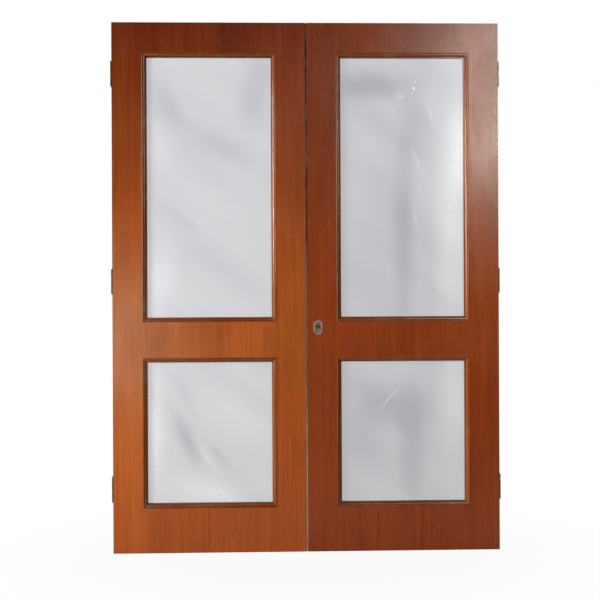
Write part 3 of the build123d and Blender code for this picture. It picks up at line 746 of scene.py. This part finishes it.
class DOORS_OT_edges(bpy.types.Operator):
    """Stain the lippings and leave the inner frame raw"""

    bl_idname = "doors.edges"
    bl_label = "Edges and inner frame"

    def execute(self, context):
        timber = context.scene.door_timber
        edge = Finish("edge_lipping")
        colour, tone, relief = lay_grain(
            edge, edge.place, timber.edge_light[:], timber.edge_dark[:], timber.streak_width / 2)
        arris = edge.wear_and_shade_line(((edge.y, FRONT), (edge.y, BACK)), 0.003)
        chips = edge.fade(edge.noise(edge.place, (0.008, 0.008, 0.03), detail=3.0), 0.5, 0.62)
        colour = edge.blend(edge.part_of(arris, chips), colour, CHIPPED_LIPPING)
        varnish(edge, colour, tone, relief, timber.varnish_roughness + 0.08)
        sides = [f"{leaf}_{place}" for leaf in LEAVES for place in ("hinge", "meeting")]
        edge.give(*(f"{side}_lipping" for side in sides))
        self.raw_finish("raw_stile", timber).give(*(f"{side}_stile" for side in sides))
        rails = [f"{leaf}_{rail}" for leaf in LEAVES for rail in RAILS]
        self.raw_finish("raw_rail", timber, level=True).give(*rails)
        return {"FINISHED"}

    def raw_finish(self, name, timber, level=False):
        """Bare timber whose fibres run upright or level."""
        finish = Finish(name, roughness=0.7)
        along = finish.point(finish.z, finish.y, finish.x) if level else finish.place
        light, dark = timber.raw_light[:], timber.raw_dark[:]
        colour, _, relief = lay_grain(finish, along, light, dark, timber.streak_width)
        finish.set("Base Color", colour)
        finish.set("Normal", finish.bump(relief, 0.0002))
        return finish


class DOORS_OT_glass(bpy.types.Operator):
    """Glaze the four openings with slightly dusty clear glass"""

    bl_idname = "doors.glass"
    bl_label = "Panes"

    def execute(self, context):
        glass = context.scene.door_glass
        dustiness = {"left": glass.left_dust, "right": glass.right_dust}
        # Slope of the diagonal bands across the panes, partly dust and partly painted reflections and
        # shade, and the share of the dust that is left
        stroke_slope = 0.82
        dust_left = 0.845
        for number, leaf in enumerate(LEAVES):
            finish = Finish(f"{leaf}_pane_glass", roughness=glass.gloss)
            finish.set("Alpha", glass.film)
            finish.set("IOR", 1.5)
            across = finish.math("MULTIPLY_ADD", finish.x, stroke_slope, finish.z)
            along = finish.math("MULTIPLY_ADD", finish.z, -stroke_slope, finish.x)
            swept = finish.point(along, finish.y, across)
            bands = finish.noise(swept, (0.9, 0.5, 0.16), detail=1.5, roughness=0.4, shift=number * 4.1)
            share = finish.fade(bands, 0.3, 0.7, dustiness[leaf] - 0.05, dustiness[leaf] + 0.05)
            # The smears are partly dust and partly painted reflections of the lamps and painted shade on
            # the panes
            for *oval, amount in SMEARS_AND_REFLECTIONS[leaf]:
                share = finish.math("MULTIPLY_ADD", finish.soft_oval(*oval), amount, share)
            wipes = finish.noise(swept, (0.35, 0.5, 0.012), detail=2.0, shift=number * 4.1)
            motes = finish.noise(finish.place, (0.003, 0.003, 0.003), detail=1.0)
            share = finish.math("MULTIPLY_ADD", finish.math("SUBTRACT", wipes, 0.5), 0.10, share)
            share = finish.math("MULTIPLY_ADD", finish.fade(motes, 0.72, 0.80), 0.10, share)
            share = finish.part_of(share, dust_left)
            finish.set("Base Color", finish.blend(share, glass.clean[:], glass.dust[:]))
            finish.give(*(f"{leaf}_{pane}_glass" for pane in PANES))
        return {"FINISHED"}


class DOORS_OT_hinges(bpy.types.Operator):
    """Finish the hinges in old brass"""

    bl_idname = "doors.hinges"
    bl_label = "Hinges"

    def execute(self, context):
        metal = context.scene.door_metal
        finish = brass_finish(
            "hinge_brass", metal.hinge_brass[:], HINGE_TARNISH, cover=0.70, roughness=0.52, metallic=0.6)
        plates = (
            f"{leaf}_{height}_hinge_{part}_plate"
            for leaf in LEAVES for height in HEIGHTS for part in ("door", "jamb")
        )
        finish.give(*plates, *(f"{leaf}_hinge_pins" for leaf in LEAVES))
        return {"FINISHED"}


class DOORS_OT_keyhole(bpy.types.Operator):
    """Finish the oval keyhole plates and the key plug"""

    bl_idname = "doors.keyhole"
    bl_label = "Keyhole plates"

    def execute(self, context):
        metal = context.scene.door_metal
        plate = brass_finish(
            "keyhole_brass", metal.keyhole_brass[:], metal.tarnish[:],
            cover=0.40, roughness=0.34, metallic=0.55)
        proud = plate.math("ABSOLUTE", plate.y)
        rim = plate.fade(proud, BACK + 0.0006, BACK + 0.0018)
        worn = plate.shader.inputs["Base Color"].links[0].from_socket
        worn = plate.blend(plate.part_of(rim, 0.55), worn, metal.keyhole_brass[:])
        sunk = plate.fade(proud, BACK - 0.0012, BACK + 0.0002, 1.0, 0.0)
        worn = plate.blend(plate.part_of(sunk, 0.75), worn, KEYHOLE_DIRT)
        plate.set("Base Color", worn)
        plate.give("front_keyhole_plate", "back_keyhole_plate")
        plug = brass_finish(
            "plug_bronze", metal.bronze[:], PLUG_TARNISH, cover=0.3, roughness=0.30, metallic=0.6)
        plug.give("key_plug")
        return {"FINISHED"}


class DOORS_OT_lock(bpy.types.Operator):
    """Finish the lock, the strike plate and the flush bolts"""

    bl_idname = "doors.lock"
    bl_label = "Lock and bolts"

    def execute(self, context):
        metal = context.scene.door_metal
        plates = brass_finish(
            "edge_brass", metal.edge_brass[:], metal.tarnish[:], cover=0.35, roughness=0.3)
        plates.give(
            "lock_faceplate", "strike_plate", "dead_bolt", "top_flush_bolt", "bottom_flush_bolt",
            "top_flush_bolt_plate", "bottom_flush_bolt_plate")
        steel = brass_finish("case_steel", metal.steel[:], STEEL_RUST, cover=0.3, roughness=0.42)
        steel.give("lock_case")
        return {"FINISHED"}


class DOORS_OT_screws(bpy.types.Operator):
    """Cut driver's slots into all the wood screws"""

    bl_idname = "doors.screws"
    bl_label = "Slotted screws"

    def execute(self, context):
        metal = context.scene.door_metal
        finish = brass_finish(
            "screw_brass", metal.hinge_brass[:], metal.tarnish[:], cover=0.5, roughness=0.35)
        sets = {
            "left_hinge_screws": "left_leaf", "right_hinge_screws": "right_leaf",
            "lock_screws": "right_leaf", "meeting_edge_screws": "left_leaf",
        }
        for node, body in sets.items():
            screws = loose_parts(copy_of_node(node))
            for number, screw in enumerate(screws):
                cut_slot(screw, math.radians(20 + 67 * number), metal.slot_width, metal.slot_depth)
            bpy.ops.object.select_all(action="DESELECT")
            for screw in screws:
                screw.select_set(True)
            bpy.context.view_layer.objects.active = screws[0]
            bpy.ops.object.join()
            slotted = bpy.context.object
            finish_piece(slotted, f"slotted_{node}", body, finish)
            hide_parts(node)
        return {"FINISHED"}


class DOORS_OT_glints(bpy.types.Operator):
    """Put white specks on the right leaf's upper pane, painted glints of the lamps"""

    bl_idname = "doors.marks"
    bl_label = "Marks on the glass"

    def execute(self, context):
        finish = Finish("glass_glint", roughness=0.25)
        flecks = finish.noise(finish.place, (0.001, 0.001, 0.001), detail=1.0)
        finish.set("Base Color", finish.ramp(flecks, (0.3, (0.85, 0.85, 0.86)), (0.7, (0.97, 0.97, 0.98))))
        for name, x, z, radius in GLINT_SPECKS:
            bpy.ops.object.select_all(action="DESELECT")
            bpy.ops.mesh.primitive_uv_sphere_add(
                segments=20, ring_count=10, radius=radius, location=(x, GLASS_FRONT, z))
            glint_speck = bpy.context.object
            glint_speck.scale = (0.8, 0.12, 1.35)
            settle(glint_speck)
            bpy.ops.object.shade_smooth()
            finish_piece(glint_speck, name, "right_leaf", finish)
        return {"FINISHED"}


class DOORS_OT_seal(bpy.types.Operator):
    """Put a brush strip on the left leaf's edge, where the two leaves meet"""

    bl_idname = "doors.seal"
    bl_label = "Brush strip"

    def execute(self, context):
        seal = context.scene.door_seal
        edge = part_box("left_meeting_lipping")[1].x
        # The strip's middle lies 3.2 mm behind the leaf's front face
        depth = -0.0168
        width = 0.0056
        thickness = 0.0008
        margin = 0.0005
        height = LEAF_HEIGHT - 2 * margin
        bpy.ops.object.select_all(action="DESELECT")
        bpy.ops.mesh.primitive_cube_add(
            size=1.0, location=(edge + thickness / 2, depth, LEAF_HEIGHT / 2))
        strip = bpy.context.object
        strip.scale = (thickness, width, height)
        settle(strip)
        trim = strip.modifiers.new("edges", "BEVEL")
        trim.width = thickness / 4
        trim.segments = 2
        bpy.ops.object.modifier_apply(modifier=trim.name)
        foot_radius, tip_radius = seal.tuft_step * 0.66, seal.tuft_step * 0.52
        tuft_height = seal.reach - thickness * 0.75
        bpy.ops.object.select_all(action="DESELECT")
        bpy.ops.mesh.primitive_cone_add(
            vertices=7, radius1=foot_radius, radius2=tip_radius, depth=tuft_height,
            location=(edge + seal.reach - tuft_height / 2, depth, margin + seal.tuft_step),
            rotation=(0.0, math.radians(90), 0.0))
        tufts = bpy.context.object
        settle(tufts)
        row = tufts.modifiers.new("row", "ARRAY")
        row.use_relative_offset = False
        row.use_constant_offset = True
        row.constant_offset_displace = (0.0, 0.0, seal.tuft_step)
        row.count = int(height / seal.tuft_step) - 1
        bpy.ops.object.modifier_apply(modifier=row.name)
        strip.select_set(True)
        bpy.context.view_layer.objects.active = strip
        bpy.ops.object.join()
        finish = Finish("brush_pile", roughness=0.85)
        fluff = finish.noise(finish.place, (0.0006, 0.0006, 0.0006), detail=2.0)
        # Paler below the middle and towards the floor: partly dust and partly painted light for the light
        # that shows through the gap between the leaves
        dusty = finish.fade(finish.noise(finish.place, (0.01, 0.01, 0.08), detail=2.0), 0.5, 0.75)
        below_middle = finish.fade(finish.z, 1.10, 1.30, 0.35, 0.0)
        near_floor = finish.fade(finish.z, 0.3, 0.8, 0.5, 0.0)
        dusty = finish.math("MULTIPLY_ADD", dusty, 0.15, below_middle)
        dusty = finish.math("ADD", dusty, near_floor)
        finish.set("Specular IOR Level", 0.15)
        finish.set("Base Color", finish.blend(dusty, seal.pile[:], BRUSH_DUST_AND_LIGHT))
        finish.set("Normal", finish.bump(fluff, 0.0003))
        finish_piece(strip, "brush_strip", "left_leaf", finish)
        return {"FINISHED"}


class DOORS_OT_studio(bpy.types.Operator):
    """Set up the pale floor, the soft lights and the camera"""

    bl_idname = "doors.studio"
    bl_label = "Studio"

    def execute(self, context):
        studio = context.scene.door_studio
        drop = 0.0005
        bpy.ops.object.select_all(action="DESELECT")
        bpy.ops.mesh.primitive_circle_add(
            vertices=128, radius=studio.floor_radius, fill_type="TRIFAN", location=(0, 0, -drop))
        floor = bpy.context.object
        settle(floor)
        floor.name = "studio_floor"
        finish = Finish("studio_floor", roughness=0.9)
        finish.set("Base Color", studio.floor_colour[:])
        away = finish.add("ShaderNodeVectorMath", operation="LENGTH")
        finish.join(finish.place, away.inputs[0])
        paling = finish.fade(away.outputs["Value"], 0.4, 1.5, 0.93, 1.0)
        eye = finish.add("ShaderNodeLightPath").outputs["Is Camera Ray"]
        white = finish.glow("ShaderNodeEmission", 1.0)
        surface = finish.mix_shaders(finish.part_of(paling, eye), finish.shader.outputs[0], white)
        finish.join(surface, finish.output.inputs["Surface"])
        floor.data.materials.append(finish.material)
        for name, place, target, width, height, power in LAMPS:
            self.hang_lamp(context, name, Vector(place), Vector(target), width, height, power)
        self.make_sky(context)
        camera = bpy.data.objects.new("camera", bpy.data.cameras.new("camera"))
        camera.data.lens = studio.lens
        camera.data.sensor_width = 36.0
        camera.location = studio.camera_place
        sight = Vector(studio.camera_target) - Vector(studio.camera_place)
        camera.rotation_mode = "QUATERNION"
        level = sight.to_track_quat("-Z", "Y")
        camera.rotation_quaternion = level @ Quaternion((0, 0, 1), studio.camera_roll)
        context.scene.collection.objects.link(camera)
        context.scene.camera = camera
        context.scene.view_settings.view_transform = "Standard"
        return {"FINISHED"}

    def hang_lamp(self, context, name, place, target, width, height, power):
        """A rectangular lamp that is brightest in its middle and dark at its rim."""
        lamp = bpy.data.lights.new(name, "AREA")
        lamp.shape = "RECTANGLE"
        lamp.size = width
        lamp.size_y = height
        lamp.energy = power
        lamp.use_nodes = True
        nodes = Nodes(lamp.node_tree)
        face = nodes.parts(nodes.add("ShaderNodeNewGeometry").outputs["Parametric"])
        rim, peak = 0.4, 1.7
        rises = [nodes.fade(nodes.math("PINGPONG", side, 0.5), 0.0, rim, 0.0, peak) for side in face[:2]]
        nodes.join(nodes.math("MULTIPLY", *rises), nodes.tree.nodes["Emission"].inputs["Strength"])
        holder = bpy.data.objects.new(name, lamp)
        holder.location = place
        holder.rotation_mode = "QUATERNION"
        holder.rotation_quaternion = (target - place).to_track_quat("-Z", "Y")
        holder.visible_camera = False
        context.scene.collection.objects.link(holder)

    def make_sky(self, context):
        """A white surround for the eye that lights the doors softly and mirrors darkly in varnish."""
        world = bpy.data.worlds.new("studio_sky")
        context.scene.world = world
        world.use_nodes = True
        world.node_tree.nodes.clear()
        nodes = Nodes(world.node_tree)
        rays = nodes.add("ShaderNodeLightPath").outputs
        strengths = (SKY_LIGHT, SKY_MIRRORED, SKY_SEEN)
        soft, dark, white = (nodes.glow("ShaderNodeBackground", strength) for strength in strengths)
        mirrored = nodes.mix_shaders(rays["Is Glossy Ray"], soft, dark)
        seen = nodes.mix_shaders(rays["Is Camera Ray"], mirrored, white)
        nodes.join(seen, nodes.add("ShaderNodeOutputWorld").inputs["Surface"])


class DOORS_PT_panel(bpy.types.Panel):
    """Lists the steps and the values of the doors"""

    bl_idname = "DOORS_PT_panel"
    bl_label = "French doors"
    bl_space_type = "VIEW_3D"
    bl_region_type = "UI"
    bl_category = "Doors"

    def draw(self, context):
        for step in STEPS:
            self.layout.operator(step.bl_idname, text=step.bl_label)
        for group in GROUPS:
            values = getattr(context.scene, group)
            box = self.layout.box()
            for name in values.__annotations__:
                box.prop(values, name)


STEPS = (
    DOORS_OT_veneer, DOORS_OT_beads, DOORS_OT_edges, DOORS_OT_glass, DOORS_OT_hinges,
    DOORS_OT_keyhole, DOORS_OT_lock, DOORS_OT_screws, DOORS_OT_glints, DOORS_OT_seal, DOORS_OT_studio,
)
GROUPS = {
    "door_timber": DoorTimber, "door_glass": DoorGlass, "door_metal": DoorMetal, "door_seal": DoorSeal,
    "door_studio": DoorStudio,
}


def register():
    """Registers the value groups, the steps and the panel."""
    for name, group in GROUPS.items():
        bpy.utils.register_class(group)
        setattr(bpy.types.Scene, name, bpy.props.PointerProperty(type=group))
    for step in (*STEPS, DOORS_PT_panel):
        bpy.utils.register_class(step)


def unregister():
    """Removes what register added."""
    for step in reversed((*STEPS, DOORS_PT_panel)):
        bpy.utils.unregister_class(step)
    for name, group in GROUPS.items():
        delattr(bpy.types.Scene, name)
        bpy.utils.unregister_class(group)


def main():
    """Runs every step in order."""
    register()
    bpy.ops.doors.veneer()
    bpy.ops.doors.beads()
    bpy.ops.doors.edges()
    bpy.ops.doors.glass()
    bpy.ops.doors.hinges()
    bpy.ops.doors.keyhole()
    bpy.ops.doors.lock()
    bpy.ops.doors.screws()
    bpy.ops.doors.marks()
    bpy.ops.doors.seal()
    bpy.ops.doors.studio()


if __name__ == "__main__":
    main()
